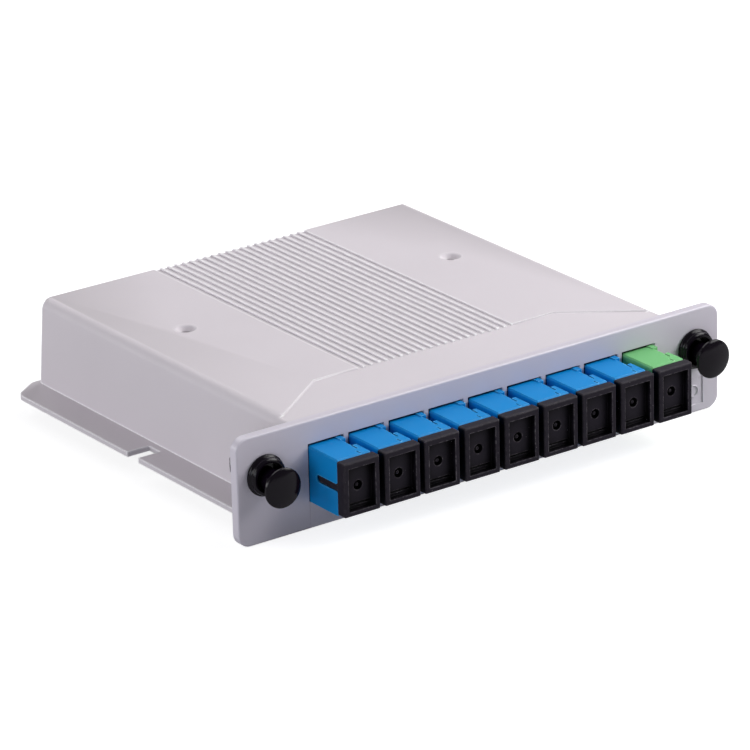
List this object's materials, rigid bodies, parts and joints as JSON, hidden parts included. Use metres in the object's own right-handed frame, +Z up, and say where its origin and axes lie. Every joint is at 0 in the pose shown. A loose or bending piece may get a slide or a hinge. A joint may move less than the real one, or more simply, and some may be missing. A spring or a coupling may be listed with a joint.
{
  "type": "fibre splitter cassette",
  "caption": "Slide-in fibre splitter cassette: flat grey case with a ribbed cover, side rails, a row of plugged connector ports and a push latch at each end of its panel.",
  "frame": {"origin": "under the middle of the cassette, on the plane of the front panel's lower edge, halfway between the front of the dust plugs and the rear edge of the base tray", "axes": "+X to the right along the front panel seen from the front, +Y from the panel to the back of the case, +Z up"},
  "size_m": [0.13, 0.1128, 0.025],
  "materials": {
    "panel_plastic": "semi-gloss light grey moulding",
    "case_plastic": "fine matt light grey moulding",
    "adapter_blue": "satin sky blue",
    "adapter_green": "satin light green",
    "dust_plug_black": "matt black soft plastic",
    "latch_black": "polished black nylon",
    "connector_blue": "satin blue",
    "connector_green": "satin green",
    "sleeve_ceramic": "white zirconia ceramic",
    "splitter_steel": "bright stainless bar",
    "pad_foam": "closed-cell foam tape",
    "block_plastic": "black fan-out block",
    "fibre_output": "pale tight buffer",
    "fibre_input": "yellow tight buffer"
  },
  "bodies": {
    "case": {"front_panel": "panel_plastic", "base_tray": "case_plastic", "cover": "case_plastic", "splitter_module": "splitter_steel", "splitter_foam_pad": "pad_foam", "fan_out_block": "block_plastic", "input_fibre": "fibre_input", "adapter_housing_1": "adapter_blue", "alignment_sleeve_1": "sleeve_ceramic", "inner_connector_1": "connector_blue", "output_fibre_1": "fibre_output", "adapter_housing_2": "adapter_blue", "alignment_sleeve_2": "sleeve_ceramic", "inner_connector_2": "connector_blue", "output_fibre_2": "fibre_output", "adapter_housing_3": "adapter_blue", "alignment_sleeve_3": "sleeve_ceramic", "inner_connector_3": "connector_blue", "output_fibre_3": "fibre_output", "adapter_housing_4": "adapter_blue", "alignment_sleeve_4": "sleeve_ceramic", "inner_connector_4": "connector_blue", "output_fibre_4": "fibre_output", "adapter_housing_5": "adapter_blue", "alignment_sleeve_5": "sleeve_ceramic", "inner_connector_5": "connector_blue", "output_fibre_5": "fibre_output", "adapter_housing_6": "adapter_blue", "alignment_sleeve_6": "sleeve_ceramic", "inner_connector_6": "connector_blue", "output_fibre_6": "fibre_output", "adapter_housing_7": "adapter_blue", "alignment_sleeve_7": "sleeve_ceramic", "inner_connector_7": "connector_blue", "output_fibre_7": "fibre_output", "adapter_housing_8": "adapter_blue", "alignment_sleeve_8": "sleeve_ceramic", "inner_connector_8": "connector_blue", "output_fibre_8": "fibre_output", "adapter_housing_9": "adapter_green", "alignment_sleeve_9": "sleeve_ceramic", "inner_connector_9": "connector_green", "latch_grommet_left": "latch_black", "latch_grommet_right": "latch_black"},
    "plug_1": {"dust_plug_1": "dust_plug_black"},
    "plug_2": {"dust_plug_2": "dust_plug_black"},
    "plug_3": {"dust_plug_3": "dust_plug_black"},
    "plug_4": {"dust_plug_4": "dust_plug_black"},
    "plug_5": {"dust_plug_5": "dust_plug_black"},
    "plug_6": {"dust_plug_6": "dust_plug_black"},
    "plug_7": {"dust_plug_7": "dust_plug_black"},
    "plug_8": {"dust_plug_8": "dust_plug_black"},
    "plug_9": {"dust_plug_9": "dust_plug_black"},
    "plunger_left": {"latch_plunger_left": "latch_black"},
    "plunger_right": {"latch_plunger_right": "latch_black"}
  },
  "joints": [
    {"name": "dust_plug_1_pull", "type": "slide", "parent": "case", "child": "plug_1", "axis": [0, -1, 0], "range_m": [0, 0.012]},
    {"name": "dust_plug_2_pull", "type": "slide", "parent": "case", "child": "plug_2", "axis": [0, -1, 0], "range_m": [0, 0.012]},
    {"name": "dust_plug_3_pull", "type": "slide", "parent": "case", "child": "plug_3", "axis": [0, -1, 0], "range_m": [0, 0.012]},
    {"name": "dust_plug_4_pull", "type": "slide", "parent": "case", "child": "plug_4", "axis": [0, -1, 0], "range_m": [0, 0.012]},
    {"name": "dust_plug_5_pull", "type": "slide", "parent": "case", "child": "plug_5", "axis": [0, -1, 0], "range_m": [0, 0.012]},
    {"name": "dust_plug_6_pull", "type": "slide", "parent": "case", "child": "plug_6", "axis": [0, -1, 0], "range_m": [0, 0.012]},
    {"name": "dust_plug_7_pull", "type": "slide", "parent": "case", "child": "plug_7", "axis": [0, -1, 0], "range_m": [0, 0.012]},
    {"name": "dust_plug_8_pull", "type": "slide", "parent": "case", "child": "plug_8", "axis": [0, -1, 0], "range_m": [0, 0.012]},
    {"name": "dust_plug_9_pull", "type": "slide", "parent": "case", "child": "plug_9", "axis": [0, -1, 0], "range_m": [0, 0.012]},
    {"name": "latch_left_push", "type": "slide", "parent": "case", "child": "plunger_left", "axis": [0, 1, 0], "range_m": [0, 0.0031]},
    {"name": "latch_right_push", "type": "slide", "parent": "case", "child": "plunger_right", "axis": [0, 1, 0], "range_m": [0, 0.0031]}
  ]
}
